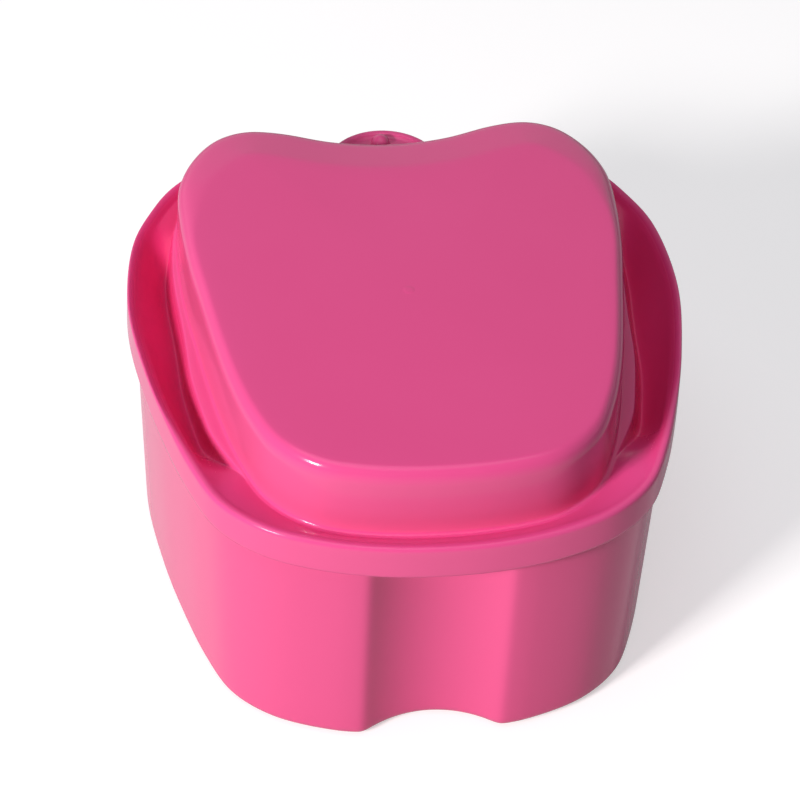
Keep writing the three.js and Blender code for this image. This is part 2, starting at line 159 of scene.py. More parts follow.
def shellFromRings(rings, firstHeight, lastHeight, moatShadeShares=None):
    # one closed skin: a circle laid on the first ring, extruded from ring to ring, poles merged at both ends
    mesh = bmesh.new()
    # the moat attribute holds the share of painted moat shade at each vertex
    layer = mesh.verts.layers.float.new("moat") if moatShadeShares else None
    firstRow = bmesh.ops.create_circle(mesh, cap_ends=False, radius=1, segments=len(rings[0]))["verts"]
    placeRow(firstRow, rings[0])
    row = firstRow
    for k, ring in enumerate(rings[1:], 1):
        row = growRow(mesh, row)
        placeRow(row, ring)
        for vert, depth in zip(row, moatShadeShares[k] if moatShadeShares else []):
            vert[layer] = depth
    for end, ring, height in ((firstRow, rings[0], firstHeight), (row, rings[-1], lastHeight)):
        middle = sum(ring, Vector()) / len(ring)
        for share in poleShares:
            end = growRow(mesh, end)
            placeRow(end, [Vector((*middle.xy.lerp(p.xy, share), mix(height, p.z, share * share))) for p in ring])
        end = growRow(mesh, end)
        bmesh.ops.pointmerge(mesh, verts=end, merge_co=Vector((middle.x, middle.y, height)) * millimetre)
    bmesh.ops.recalc_face_normals(mesh, faces=mesh.faces[:])
    return mesh


def finishPiece(name, mesh, body, node, material):
    data = bpy.data.meshes.new(name)
    mesh.to_mesh(data)
    mesh.free()
    piece = bpy.data.objects.new(name, data)
    bpy.context.scene.collection.objects.link(piece)
    data.materials.append(material)
    data.shade_smooth()
    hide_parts(node)
    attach(piece, body)
    return piece


def addSubdivision(piece, levels):
    smoother = piece.modifiers.new("moulded flow", "SUBSURF")
    smoother.levels = levels
    smoother.render_levels = levels


def linearFromHex(text):
    values = [int(text[i:i + 2], 16) / 255 for i in (1, 3, 5)]
    return tuple(v / 12.92 if v <= 0.04045 else ((v + 0.055) / 1.055) ** 2.4 for v in values) + (1,)


def addNode(tree, kind, settings=None, links=None):
    # a setting names a socket, by number or name, or else a property of the node
    node = tree.nodes.new(kind)
    for key, value in (settings or {}).items():
        if isinstance(key, int) or key in node.inputs:
            node.inputs[key].default_value = value
        else:
            setattr(node, key, value)
    for key, source in (links or {}).items():
        tree.links.new(source, node.inputs[key])
    return node


# Polypropylene, injection moulded against a polished tool and coloured right through: a saturated hot pink with an
# even gloss, slow flow waviness, fine orange peel and a few hairline handling scuffs
glossFinish = {
    "baseHex": "#df4c8b",
    "deepHex": "#da4684",
    # painted sheen: the paler colour given to upright walls
    "wallSheenHex": "#df598d",
    "roughness": (0.13, 0.17),
    "ior": 1.49,
    "shine": 0.24,
    "cloudSize": 32,  # mm, colour clouds from the melt front
    "waveSize": 26,  # mm, slow waviness of the moulded face
    "waveHeight": 0.012,
    "peelSize": 1.4,  # mm, orange peel, drawn coarser than the real 0.5 mm so that it shows
    "peelHeight": 0.0007,
    "scuffSize": 0.35,  # mm, width of a hairline scuff
}

# Painted shade: the lid's moat, from its ledge down to the floor and up into the crest, is drawn in a deeper pink
# with a duller gloss wherever the channel runs deep. This stands in for the shade in it and the light it throws back
# and forth. It is the same plastic elsewhere.
lidFinish = {
    **glossFinish,
    "paintedMoatShadeHex": "#d6306c",
    "moatRoughness": 0.16,
    "gateSpot": (-1, -4, 58.7),  # mm, witness of the injection gate
}

# The cup's thicker walls scatter more light, so the same plastic looks a little paler there
cupFinish = {**glossFinish, "baseHex": "#df5588", "deepHex": "#da4e81", "wallSheenHex": "#df558a"}

# Polypropylene, moulded against a spark-eroded tool: a soft off-white satin with a fine even grain
satinFinish = {
    "baseHex": "#f0ede6",
    "deepHex": "#e6e2d9",
    "wallSheenHex": "#efebe3",
    "roughness": (0.4, 0.5),
    "ior": 1.49,
    "shine": 0.24,
    "cloudSize": 20,
    "waveSize": 18,
    "waveHeight": 0.006,
    "peelSize": 0.6,
    "peelHeight": 0.0022,
    "scuffSize": 0.35,
}

# What every moulded face has in common
surfaceForm = {
    "cloudDetail": 3,
    "waveDetail": 0,
    "peelDetail": 1,
    "scuffDetail": 2,
    # where the painted wall sheen is full and where it is gone
    "upright": (0.1, 0.5),  # upward part of the normal: a wall up to the first, a level face from the second
    "scuffTurn": (0.2, 0.1, 0.7),
    "scuffStretch": (1, 0.04, 1),
    "scuffLimits": (0.66, 0.8),  # only the crests of the noise leave a scuff
    "scuffRoughness": 0.12,
    "gateRadius": (0.5, 1.1),  # mm, a shallow round pip
    "gateHeight": 0.05,
}


def perMetre(size):
    # noise scale whose features are so many millimetres across
    return 1 / (size * millimetre)


def mouldedPlastic(name, finish, form=surfaceForm):
    material = bpy.data.materials.new(name)
    material.use_nodes = True
    tree = material.node_tree
    tree.nodes.clear()
    place = addNode(tree, "ShaderNodeTexCoord").outputs["Object"]

    # colour: slow clouds, and painted sheen: upright walls drawn paler, standing in for the light and reflections
    # they catch from both sides
    clouds = addNode(tree, "ShaderNodeTexNoise", {
        "Scale": perMetre(finish["cloudSize"]),
        "Detail": form["cloudDetail"],
    }, {"Vector": place})
    tint = addNode(tree, "ShaderNodeMix", {
        "data_type": "RGBA",
        6: linearFromHex(finish["baseHex"]),
        7: linearFromHex(finish["deepHex"]),
    }, {"Factor": clouds.outputs["Fac"]})
    normal = addNode(tree, "ShaderNodeNewGeometry").outputs["Normal"]
    facing = addNode(tree, "ShaderNodeSeparateXYZ", {}, {"Vector": normal})
    level = addNode(tree, "ShaderNodeMath", {"operation": "ABSOLUTE"}, {0: facing.outputs["Z"]})
    # painted sheen: how upright the face is sets how much of the paler wall colour it gets
    upright = addNode(tree, "ShaderNodeMapRange", {
        "From Min": form["upright"][0],
        "From Max": form["upright"][1],
        "To Min": 1,
        "To Max": 0,
    }, {"Value": level.outputs["Value"]})
    colour = addNode(tree, "ShaderNodeMix", {
        "data_type": "RGBA",
        7: linearFromHex(finish["wallSheenHex"]),
    }, {"Factor": upright.outputs["Result"], 6: tint.outputs[2]})

    # roughness: a little uneven with the clouds, and duller along the scuffs
    stretch = addNode(tree, "ShaderNodeMapping", {
        "Rotation": form["scuffTurn"],
        "Scale": form["scuffStretch"],
    }, {"Vector": place})
    scuffs = addNode(tree, "ShaderNodeTexNoise", {
        "Scale": perMetre(finish["scuffSize"]),
        "Detail": form["scuffDetail"],
    }, {"Vector": stretch.outputs["Vector"]})
    hairline = addNode(tree, "ShaderNodeMapRange", {
        "From Min": form["scuffLimits"][0],
        "From Max": form["scuffLimits"][1],
    }, {"Value": scuffs.outputs["Fac"]})
    gloss = addNode(tree, "ShaderNodeMapRange", {
        "To Min": finish["roughness"][0],
        "To Max": finish["roughness"][1],
    }, {"Value": clouds.outputs["Fac"]})
    worn = addNode(tree, "ShaderNodeMath", {
        "operation": "MULTIPLY_ADD",
        1: form["scuffRoughness"],
    }, {0: hairline.outputs["Result"], 2: gloss.outputs["Result"]})

    # painted shade in the moat: the moat attribute mixes in the deeper pink and raises the roughness
    if "paintedMoatShadeHex" in finish:
        depth = addNode(tree, "ShaderNodeAttribute", {"attribute_name": "moat"})
        colour = addNode(tree, "ShaderNodeMix", {
            "data_type": "RGBA",
            7: linearFromHex(finish["paintedMoatShadeHex"]),
        }, {"Factor": depth.outputs["Fac"], 6: colour.outputs[2]})
        worn = addNode(tree, "ShaderNodeMath", {
            "operation": "MULTIPLY_ADD",
            1: finish["moatRoughness"],
        }, {0: depth.outputs["Fac"], 2: worn.outputs["Value"]})

    # relief: slow waviness, orange peel over it, and the pip of the gate
    waves = addNode(tree, "ShaderNodeTexNoise", {
        "Scale": perMetre(finish["waveSize"]),
        "Detail": form["waveDetail"],
    }, {"Vector": place})
    peel = addNode(tree, "ShaderNodeTexNoise", {
        "Scale": perMetre(finish["peelSize"]),
        "Detail": form["peelDetail"],
    }, {"Vector": place})
    slow = addNode(tree, "ShaderNodeBump", {
        "Strength": 1,
        "Distance": finish["waveHeight"] * millimetre,
    }, {"Height": waves.outputs["Fac"]})
    relief = addNode(tree, "ShaderNodeBump", {
        "Strength": 1,
        "Distance": finish["peelHeight"] * millimetre,
    }, {"Height": peel.outputs["Fac"], "Normal": slow.outputs["Normal"]})
    if "gateSpot" in finish:
        away = addNode(tree, "ShaderNodeVectorMath", {
            "operation": "DISTANCE",
            1: [value * millimetre for value in finish["gateSpot"]],
        }, {0: place})
        pip = addNode(tree, "ShaderNodeMapRange", {
            "interpolation_type": "SMOOTHSTEP",
            "From Min": form["gateRadius"][0] * millimetre,
            "From Max": form["gateRadius"][1] * millimetre,
            "To Min": 1,
            "To Max": 0,
        }, {"Value": away.outputs["Value"]})
        relief = addNode(tree, "ShaderNodeBump", {
            "Strength": 1,
            "Distance": form["gateHeight"] * millimetre,
        }, {"Height": pip.outputs["Result"], "Normal": relief.outputs["Normal"]})

    shader = addNode(tree, "ShaderNodeBsdfPrincipled", {
        "IOR": finish["ior"],
        "Specular IOR Level": finish["shine"],
    }, {
        "Base Color": colour.outputs[2],
        "Roughness": worn.outputs["Value"],
        "Normal": relief.outputs["Normal"],
    })
    addNode(tree, "ShaderNodeOutputMaterial", {}, {"Surface": shader.outputs["BSDF"]})
    return material


lidPink = mouldedPlastic("lid polypropylene moulded gloss", lidFinish)
cupPink = mouldedPlastic("cup polypropylene moulded gloss", cupFinish)
basketWhite = mouldedPlastic("basket polypropylene moulded satin", satinFinish)
print("finishes ready")

# Lengths in millimetres. A pair of angles is where a change along the outline starts and ends, in degrees from the
# front. Steps are the places of the rings along a stretch of the skin.
lidForm = {
    "angleRuns": [(0, 18, 8), (18, 50, 18), (50, 125, 24), (125, 180, 26)],
    "height": 48,
    "wall": 1.3,
    "skirtDepth": 6.1,
    "skirtDraft": 0.25,
    "skirtInset": 0.05,
    "skirtSteps": (0.3, 0.65, 0.95),
    "lipRound": 0.12,
    "crown": 0.45,  # how far the crest falls towards the moat
    "crownSide": 1.3,
    "crownTurn": (52, 72),
    "crownPower": (2, 1.2),
    "crestWidth": 1.3,
    "crestSteps": (0, 0.25, 0.5, 0.75),
    "ridgeRound": 0.9,
    "ridgeRoundSide": 0.5,
    "moatDepth": 6.8,
    "moatDish": 0.5,
    "moatFloor": 0.7,
    "moatLean": 1.2,
    "moatEnd": (42, 60),
    "moatWallSteps": (0.5, 0.85),
    "moatFloorSteps": (0.3, 0.7),
    "moatSlopeSteps": (0.1, 0.3, 0.5, 0.7, 0.88),
    # the next two set over how many rings the painted moat shade comes in and goes out
    "shadeFadeIn": (-1, 1),  # rings from the moat's first one, over which its tone comes in
    "fadeOut": (1, 4),  # rings from the crest's first one, over which it goes
    "roomTight": 3.6,  # the moat is shallow where island and crest stand this close, and deep at roomFull
    "roomFull": 7.8,
    "shelfDepth": 2.6,
    "lobeShelfDepth": 1.3,
    "rearEdge": (105, 150),
    "ledge": 2.2,
    "ledgeRear": 0.9,
    "ledgeNarrow": (75, 105),
    "ledgeLeast": 0.32,
    "ledgeRound": 0.25,
    "ledgeDip": 0.3,
    "ledgeUnder": 1.4,  # walls, how far its underside lies inside its edge
    "islandRise": 10.4,
    "islandDraft": 0.5,
    "islandCrown": 0.35,
    "islandSteps": (0.33, 0.67, 0.93),
    "footRound": 0.4,
    "plateauRise": 0.0292,
    "edgeDrop": 3.1,
    "edgeWidth": 2,
    "rearEdgeWidth": 9.5,
    "edgeSharp": 0.9,
    "slopeFrom": 1.5,
    "slotRoof": 2.3,
    "slotCorner": 0.1,
    "slotSteps": (0.04, 0.5, 0.97),
    "shoulderSteps": 9,
    "roundSteps": 4,
}


def moatForm(form, angles, ridge, island):
    # how deep and wide the channel is at each station, with the heights and widths that follow from it
    crest = offsetRing(ridge, -(form["ridgeRound"] + form["crestWidth"]))
    turned = [min(angle, 360 - angle) for angle in angles]
    room = [(a - b).length for a, b in zip(crest, island)]
    tight = [1 - smoothShare(value, form["roomTight"], form["roomFull"]) for value in room]
    rear = [smoothShare(angle, *form["rearEdge"]) for angle in turned]
    side = [smoothShare(angle, *form["crownTurn"]) for angle in turned]
    channel = [smoothShare(angle, *form["moatEnd"]) for angle in turned]
    shelf = [max(1 - share, near) for share, near in zip(channel, tight)]
    level = [mix(form["shelfDepth"], form["lobeShelfDepth"], near * back) for near, back in zip(tight, rear)]
    depth = [mix(form["moatDepth"], flat, share) for flat, share in zip(level, shelf)]
    small = form["footRound"]
    narrow = [smoothShare(angle, *form["ledgeNarrow"]) for angle in turned]
    wide = [mix(form["ledge"], form["ledgeRear"], share) for share in narrow]
    ledge = [mix(value, small, share) for value, share in zip(wide, shelf)]
    lean = [mix(form["moatLean"], small / 2, share) for share in shelf]
    floor = [mix(form["moatFloor"], small / 2, share) for share in shelf]
    return {
        "rear": rear,
        "channel": channel,
        "crest": crest,
        "crown": [mix(form["crown"], form["crownSide"], share) for share in side],
        "power": [mix(*form["crownPower"], share) for share in side],
        "round": [mix(form["ridgeRound"], form["ridgeRoundSide"], share) for share in side],
        "edgeWidth": [mix(form["edgeWidth"], form["rearEdgeWidth"], share) for share in rear],
        "ledge": ledge,
        "floorStart": [a + b for a, b in zip(ledge, lean)],
        "floorStop": [a + b + c for a, b, c in zip(ledge, lean, floor)],
        "dish": [mix(form["moatDish"], 0, share) for share in shelf],
        "ledgeHeight": [form["height"] - value for value in level],
        "floorHeight": [form["height"] - value for value in depth],
    }


def shoulderRings(foot, width, drop, height, steps, slope=None, slopeFrom=1):
    # a quarter ellipse; where slope is 1, its upper part is a straight fall that starts slopeFrom inside the foot
    rings = []
    for step in range(steps + 1):
        turn = math.pi / 2 * step / steps
        inward = [value * (1 - math.sin(turn)) for value in width]
        fall = [drop * (1 - math.cos(turn))] * len(width)
        for i, share in enumerate(slope or []):
            if inward[i] > slopeFrom and width[i] > slopeFrom:
                kept = math.asin(1 - slopeFrom / width[i])
                straight = drop * (1 - math.cos(kept)) * (width[i] - inward[i]) / (width[i] - slopeFrom)
                fall[i] = mix(fall[i], straight, share)
        rings.append(lift(offsetRing(foot, [-value for value in inward]), [height - value for value in fall]))
    return rings


def islandRings(form, island, moat):
    # from the plateau's edge over the shoulder and down the wall to the ledge round its foot
    top = form["height"] + form["islandRise"]
    small, edge = form["footRound"], form["ledgeRound"]
    ledgeHeight = moat["ledgeHeight"]
    wallTop = offsetRing(island, -form["islandDraft"])
    wallFoot = offsetRing(island, -small / 2)
    wallLow = [value + small for value in ledgeHeight]
    plateau = offsetRing(wallTop, [-value for value in moat["edgeWidth"]])
    rings = [lift(offsetRing(plateau, -form["edgeSharp"]), top + form["plateauRise"])]
    slope = (moat["rear"], form["slopeFrom"])
    rings += shoulderRings(wallTop, moat["edgeWidth"], form["edgeDrop"], top, form["shoulderSteps"], *slope)
    for share in form["islandSteps"]:
        heights = [mix(top - form["edgeDrop"], low, share) for low in wallLow]
        rings.append(lift(mixRings(wallTop, wallFoot, share), heights))
    rings.append(lift(wallFoot, wallLow))
    rings.append(lift(island, [value + small / 4 for value in ledgeHeight]))
    rings.append(lift(offsetRing(island, small / 2), ledgeHeight))
    flat = [max(value - edge, form["ledgeLeast"]) for value in moat["ledge"]]
    rings.append(lift(offsetRing(island, flat), ledgeHeight))
    dips = [min(edge, high - low) * form["ledgeDip"] for low, high in zip(moat["floorHeight"], ledgeHeight)]
    rings.append(lift(offsetRing(island, moat["ledge"]), [high - dip for high, dip in zip(ledgeHeight, dips)]))
    return rings


def moatRings(form, island, moat):
    # down from the ledge, across the floor and up the long slope to the crest
    edge = form["ledgeRound"]
    floorHeight = moat["floorHeight"]
    footHeight = [max(low, high - edge) for low, high in zip(floorHeight, moat["ledgeHeight"])]
    foot = offsetRing(island, [value + edge / 2 for value in moat["ledge"]])
    floorInner = offsetRing(island, moat["floorStart"])
    floorOuter = offsetRing(island, moat["floorStop"])
    rings = [lift(foot, footHeight)]
    for share in form["moatWallSteps"]:
        heights = [mix(high, low, share) for high, low in zip(footHeight, floorHeight)]
        rings.append(lift(mixRings(foot, floorInner, share), heights))
    for share in form["moatFloorSteps"]:
        rings.append(lift(mixRings(floorInner, floorOuter, share), floorHeight))
    crestHeight = [form["height"] - value for value in moat["crown"]]
    for share in form["moatSlopeSteps"]:
        sag = 4 * share * (1 - share)
        levels = zip(floorHeight, crestHeight, moat["dish"])
        heights = [mix(low, high, share) - dish * sag for low, high, dish in levels]
        rings.append(lift(mixRings(floorOuter, moat["crest"], share), heights))
    return rings


def ridgeRings(form, ridge, moat):
    # over the crest, round its outer edge and down the skirt to its lip
    height = form["height"]
    crestOut = offsetRing(ridge, [-value for value in moat["round"]])
    rings = []
    for share in form["crestSteps"]:
        heights = [height - fall * (1 - share) ** power for fall, power in zip(moat["crown"], moat["power"])]
        rings.append(lift(mixRings(moat["crest"], crestOut, share), heights))
    for step in range(form["roundSteps"] + 1):
        turn = math.pi / 2 * step / form["roundSteps"]
        inset = [(value - form["skirtDraft"]) * math.sin(turn) - value for value in moat["round"]]
        heights = [height - value * (1 - math.cos(turn)) for value in moat["round"]]
        rings.append(lift(offsetRing(ridge, inset), heights))
    low = height - form["skirtDepth"]
    for share in form["skirtSteps"]:
        inset = mix(form["skirtDraft"], form["skirtInset"], share)
        heights = [mix(height - value, low, share) for value in moat["round"]]
        rings.append(lift(offsetRing(ridge, -inset), heights))
    rings.append(lift(offsetRing(ridge, -form["lipRound"]), low))
    rings.append(lift(offsetRing(ridge, form["lipRound"] - form["wall"]), low))
    return rings


def undersideRings(form, ridge, island, moat):
    # up inside the skirt, under the moat and up inside the island, one wall below the top skin
    wall, small = form["wall"], form["footRound"]
    low, roof = form["height"] - form["skirtDepth"], form["height"] - form["slotRoof"]
    underFloor = [value - wall for value in moat["floorHeight"]]
    underLedge = [value - wall for value in moat["ledgeHeight"]]
    rings = [lift(offsetRing(ridge, -wall), mix(low, roof, share)) for share in form["slotSteps"]]
    rings.append(lift(offsetRing(ridge, -wall - form["slotCorner"]), roof))
    rings.append(lift(moat["crest"], roof))
    rings.append(lift(offsetRing(island, [value - wall / 4 for value in moat["floorStop"]]), underFloor))
    rings.append(lift(offsetRing(island, [value - wall for value in moat["floorStart"]]), underFloor))
    rings.append(lift(offsetRing(island, [value - wall * form["ledgeUnder"] for value in moat["ledge"]]), underLedge))
    rings.append(lift(offsetRing(island, -wall - small), [value + small for value in underLedge]))
    wallTop = offsetRing(island, -form["islandDraft"] - wall)
    top = form["height"] + form["islandRise"] - wall
    shoulder = shoulderRings(wallTop, moat["edgeWidth"], form["edgeDrop"], top, form["roundSteps"])
    return rings + shoulder[::-1]


def lidRings(form):
    # the whole skin, and for each ring the share of painted moat shade: 1 in the deep channel, faded out over a few
    # rings at either end
    angles = anglesOf(form["angleRuns"])
    ridge = planRing(planForm["ridge"], angles)
    island = planRing(planForm["island"], angles)
    moat = moatForm(form, angles, ridge, island)
    rings = islandRings(form, island, moat)
    first = len(rings)
    rings += moatRings(form, island, moat)
    last = len(rings)
    rings += ridgeRings(form, ridge, moat) + undersideRings(form, ridge, island, moat)
    # painted moat shade: the deep channel's share, faded in at the ledge and out over the crest
    moatShadeShares = []
    for k in range(len(rings)):
        share = smoothShare(k - first, *form["shadeFadeIn"]) * (1 - smoothShare(k - last, *form["fadeOut"]))
        moatShadeShares.append([share * value for value in moat["channel"]])
    return rings, moatShadeShares


tabForm = {
    "radius": 10.5,
    "reach": 54.1,
    "thickness": 2.4,
    "dish": 0.8,
    "rimSink": 0.15,
    "padRise": 0.35,
    "pad": [(0.5, 0.75), (0, 1)],  # shares of radius and padRise
    "rimWidth": 1.4,
    "rimRound": 0.5,
    "rimSteps": (4, 4, 3),
    "rimFoot": [(0.4, 0.35), (1, 0.12), (1.6, 0)],  # shares of rimRound, inwards and up
    "overlap": 1.9,  # how far the tab runs in under the ridge
    "knobRadius": 1.75,
    "knobReach": 50.5,
    "knobRise": 1.1,
    "knobSink": 0.6,  # below the dish
    "knobSteps": 7,
    "turns": 96,
    "knobTurns": 40,
    "weld": 0.001,
}


def spunBody(mesh, profile, reach, turns):
    # profile of (radius, height) pairs turned about an upright axis behind the ridge
    centre = Vector((0, reach + planForm["shift"], 0)) * millimetre
    verts = [mesh.verts.new(centre + Vector((r, 0, z)) * millimetre) for r, z in profile]
    edges = [mesh.edges.new(pair) for pair in zip(verts, verts[1:])]
    bmesh.ops.spin(mesh, geom=verts + edges, cent=centre, axis=(0, 0, 1), angle=math.tau, steps=turns, use_merge=True)
    bmesh.ops.remove_doubles(mesh, verts=mesh.verts[:], dist=tabForm["weld"] * millimetre)


def arcProfile(middle, radius, start, stop, steps):
    turns = [math.radians(mix(start, stop, k / steps)) for k in range(steps + 1)]
    return [(middle[0] + radius * math.cos(t), middle[1] + radius * math.sin(t)) for t in turns]


def fingerTab(form, height):
    # half-round dished plate with a rounded rim, its straight side inside the ridge
    mesh = bmesh.new()
    edge, soft = form["radius"], form["rimRound"]
    inner = edge - form["rimWidth"]
    low, dish, rim = height - form["thickness"], height - form["dish"], height - form["rimSink"]
    below, outside, inside = form["rimSteps"]
    profile = [(0, low), (edge / 2, low)]
    profile += arcProfile((edge - soft, low + soft), soft, -90, 0, below)
    profile += arcProfile((edge - soft, rim - soft), soft, 0, 90, outside)
    profile += arcProfile((inner + soft, rim - soft), soft, 90, 150, inside)
    profile += [(inner - soft * inward, dish + soft * up) for inward, up in form["rimFoot"]]
    profile += [(edge * share, dish + form["padRise"] * up) for share, up in form["pad"]]
    spunBody(mesh, profile, form["reach"] - edge, form["turns"])
    cut = Vector((0, planForm["rearReach"] - form["overlap"] + planForm["shift"], 0)) * millimetre
    everything = mesh.verts[:] + mesh.edges[:] + mesh.faces[:]
    bmesh.ops.bisect_plane(mesh, geom=everything, plane_co=cut, plane_no=(0, -1, 0), clear_outer=True)
    bmesh.ops.holes_fill(mesh, edges=[item for item in mesh.edges if item.is_boundary])
    bmesh.ops.recalc_face_normals(mesh, faces=mesh.faces[:])
    return mesh


def knob(form, height):
    mesh = bmesh.new()
    top, radius = height + form["knobRise"], form["knobRadius"]
    foot = height - form["dish"] - form["knobSink"]
    profile = [(0, foot), (radius, foot), (radius, top - radius)]
    profile += arcProfile((0, top - radius), radius, 0, 90, form["knobSteps"])[1:]
    spunBody(mesh, profile, form["knobReach"], form["knobTurns"])
    bmesh.ops.recalc_face_normals(mesh, faces=mesh.faces[:])
    return mesh


def joinInto(mesh, other):
    data = bpy.data.meshes.new("part")
    other.to_mesh(data)
    other.free()
    mesh.from_mesh(data)
    bpy.data.meshes.remove(data)


def makeLid(form):
    top = form["height"] + form["islandRise"] + form["islandCrown"]
    rings, moatShadeShares = lidRings(form)
    mesh = shellFromRings(rings, top, top - form["wall"], moatShadeShares)
    joinInto(mesh, fingerTab(tabForm, form["height"]))
    joinInto(mesh, knob(tabForm, form["height"]))
    return mesh


lid = finishPiece("lid_moulding", makeLid(lidForm), "lid", "lid", lidPink)
addSubdivision(lid, 1)
print("lid made")

cupForm = {
    "angleRuns": [(0, 18, 28), (18, 50, 14), (50, 125, 22), (125, 180, 24)],
    "wall": 1.5,
    "floor": 1.8,
    "topInset": 1.6,
    "rimDrop": 2.8,  # below the top of the lid's ridge, as are rimInnerDrop and roofTop
    "rimInnerDrop": 4.6,
    "rimFlat": 0.5,
    "rimChamfer": 0.3,
    "rimSoft": 0.09,
    "taper": 0.7,
    "wallSteps": (0.05, 0.25, 0.5, 0.75, 0.95),
    "footRound": 2.4,
    "footRoundInside": 3,
    "grooveHalfWidth": 11.4,
    "grooveDepth": 5,
    "grooveSag": 4.1,
    "grooveBlend": 0.8,
    "grooveEnd": (1.15, 1.4),
    "roofTop": 6.6,
    "roofRun": 1.6,
    "roofWall": 1.3,
    "roofSteps": (0.15, 0.5, 0.85),
    "roundSteps": 7,
}


def cupRing(form, ridge, inset, grooveShare, wall):
    # the thumb groove is an arc pressed into the front of the outline
    half, sag = form["grooveHalfWidth"], form["grooveSag"]
    radius = (half ** 2 + sag ** 2) / (2 * sag) + wall
    middle = -(planForm["frontReach"] - inset + wall) + form["grooveDepth"] - (radius - wall)
    ring = []
    for point in offsetRing(ridge, -inset):
        if point.y <= 0 and abs(point.x) < radius:
            arc = middle + math.sqrt(radius ** 2 - point.x ** 2)
            pressed = (point.y + arc + math.hypot(point.y - arc, form["grooveBlend"])) / 2
            y = mix(pressed, point.y, smoothShare(abs(point.x) / half, *form["grooveEnd"]))
            point = Vector((point.x, mix(point.y, y, grooveShare), 0))
        ring.append(point)
    return ring


def footRings(ringAt, inset, roundness, floorHeight, steps):
    rings = []
    for step in range(steps + 1):
        turn = math.pi / 2 * step / steps
        extra = roundness * (1 - math.sin(turn))
        rings.append(lift(ringAt(inset + extra), floorHeight + roundness * (1 - math.cos(turn))))
    return rings


def cupRings(form):
    ridge = planRing(planForm["ridge"], anglesOf(form["angleRuns"]))
    height = lidForm["height"]
    wall = form["wall"]
    outerTop = form["topInset"]
    outerLow = outerTop + form["taper"]
    innerTop, innerLow = outerTop + wall, outerLow + wall
    roofHigh = height - form["roofTop"]
    roofLow = roofHigh - form["roofRun"]
    innerRoof = roofLow + form["roofWall"]
    innerFoot = form["floor"] + form["footRoundInside"]
    rim, chamfer, soft = height - form["rimDrop"], form["rimChamfer"], form["rimSoft"]

    def outer(inset):
        return cupRing(form, ridge, inset, 1, 0)

    def inner(inset):
        return cupRing(form, ridge, inset, 1, wall)

    def plain(inset, thickness=0):
        return cupRing(form, ridge, inset, 0, thickness)

    rings = footRings(outer, outerLow, form["footRound"], 0, form["roundSteps"])
    for share in form["wallSteps"]:
        rings.append(lift(outer(mix(outerLow, outerTop, share)), mix(form["footRound"], roofLow, share)))
    rings.append(lift(outer(outerTop), roofLow))
    for share in form["roofSteps"]:
        rings.append(lift(cupRing(form, ridge, outerTop, 1 - share, 0), mix(roofLow, roofHigh, share)))
    rings.append(lift(plain(outerTop), roofHigh))
    rings.append(lift(plain(outerTop), rim - chamfer))
    rings.append(lift(plain(outerTop + soft), rim - soft))
    rings.append(lift(plain(outerTop + chamfer), rim))
    rings.append(lift(plain(outerTop + form["rimFlat"]), rim))
    rings.append(lift(plain(innerTop, wall), height - form["rimInnerDrop"]))
    rings.append(lift(plain(innerTop, wall), roofHigh + form["roofWall"]))
    rings.append(lift(inner(innerTop), innerRoof))
    for share in reversed(form["wallSteps"]):
        rings.append(lift(inner(mix(innerLow, innerTop, share)), mix(innerFoot, innerRoof, share)))
    foot = footRings(inner, innerLow, form["footRoundInside"], form["floor"], form["roundSteps"])
    return rings + foot[::-1]


cupMesh = shellFromRings(cupRings(cupForm), 0, cupForm["floor"])
cup = finishPiece("cup_moulding", cupMesh, "cup", "base_cup", cupPink)
addSubdivision(cup, 1)
print("cup made")

basketForm = {
    "weld": 0.002,
    "flatAngle": 3,
    "sharpAngle": 35,
    "edgeRound": 0.22,
    "roundSegments": 2,
    "smoothAngle": 40,
}


def makeBasket(form, node):
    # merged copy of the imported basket, its flats joined and every moulded edge rounded
    mesh = bmesh.new()
    mesh.from_mesh(node.data)
    mesh.transform(node.matrix_world)
    bmesh.ops.remove_doubles(mesh, verts=mesh.verts[:], dist=form["weld"] * millimetre)
    flat = math.radians(form["flatAngle"])
    bmesh.ops.dissolve_limit(mesh, angle_limit=flat, verts=mesh.verts[:], edges=mesh.edges[:])
    limit = math.radians(form["sharpAngle"])
    sharp = [edge for edge in mesh.edges if edge.is_manifold and edge.calc_face_angle(0) > limit]
    bmesh.ops.bevel(
        mesh, geom=sharp, affect="EDGES", offset=form["edgeRound"] * millimetre,
        segments=form["roundSegments"], profile=0.5, clamp_overlap=True, material=-1,
    )
    bmesh.ops.recalc_face_normals(mesh, faces=mesh.faces[:])
    return mesh


basketMesh = makeBasket(basketForm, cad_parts["strainer_basket"])
basket = finishPiece("basket_moulding", basketMesh, "basket", "strainer_basket", basketWhite)
basket.data.set_sharp_from_angle(angle=math.radians(basketForm["smoothAngle"]))
basket.modifiers.new("even shading", "WEIGHTED_NORMAL")
print("basket made")

# Camera where the photograph was taken from
cameraForm = {
    "aim": (-2.53, -10.51, 40),
    "distance": 460,
    "pitch": 43.2,
    "yaw": 7.96,
    "roll": 2.79,
    "focalPixels": 2741,
    "framePixels": 800,
    "sensor": 36,
}


